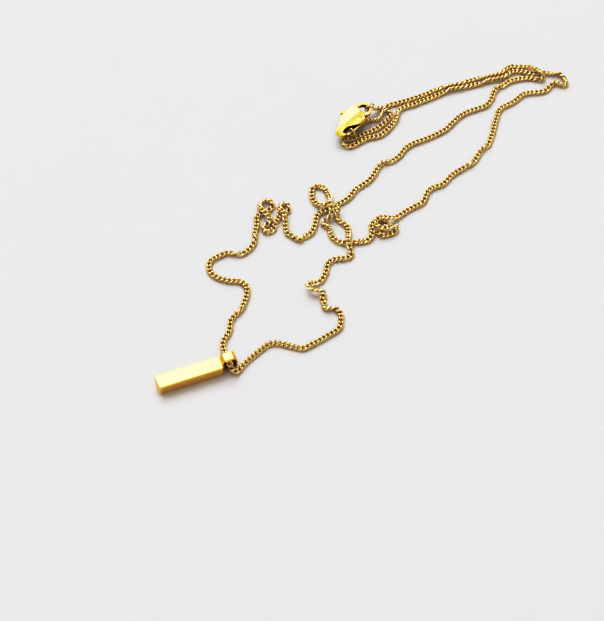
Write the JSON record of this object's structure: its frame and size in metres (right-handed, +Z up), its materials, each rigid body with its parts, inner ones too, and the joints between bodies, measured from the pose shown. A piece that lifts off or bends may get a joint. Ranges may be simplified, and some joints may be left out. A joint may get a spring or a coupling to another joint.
{
  "type": "bar pendant necklace",
  "caption": "Square bar pendant with a band bail on a fine curb chain with a lobster clasp, closed and lying flat.",
  "frame": {"origin": "middle of the laid-out necklace on the table that it lies on", "axes": "+Z up from the table, +X to the picture's right, +Y away from the viewer"},
  "size_m": [0.1008, 0.1009, 0.0042],
  "materials": {
    "bar_gold": "satin yellow gold with bevelled edges",
    "clasp_gold": "polished yellow gold",
    "ring_gold": "polished yellow gold wire",
    "chain_gold": "polished yellow gold links"
  },
  "bodies": {
    "necklace": {"pendant_bar": "bar_gold", "clasp_body": "clasp_gold", "clasp_pin": "clasp_gold", "clasp_ring": "ring_gold", "end_ring": "ring_gold", "chain_left": "chain_gold", "chain_right": "chain_gold"},
    "lever": {"clasp_lever": "clasp_gold"}
  },
  "joints": [
    {"name": "lever_hinge", "type": "hinge", "parent": "necklace", "child": "lever", "pos_m": [-0.00281, 0.02986, 0.00259], "axis": [-0.129, 0.1162, -0.9848], "range_deg": [0, 6], "stiffness_Nm_per_rad": 0.0002, "springref_deg": -17.19}
  ]
}
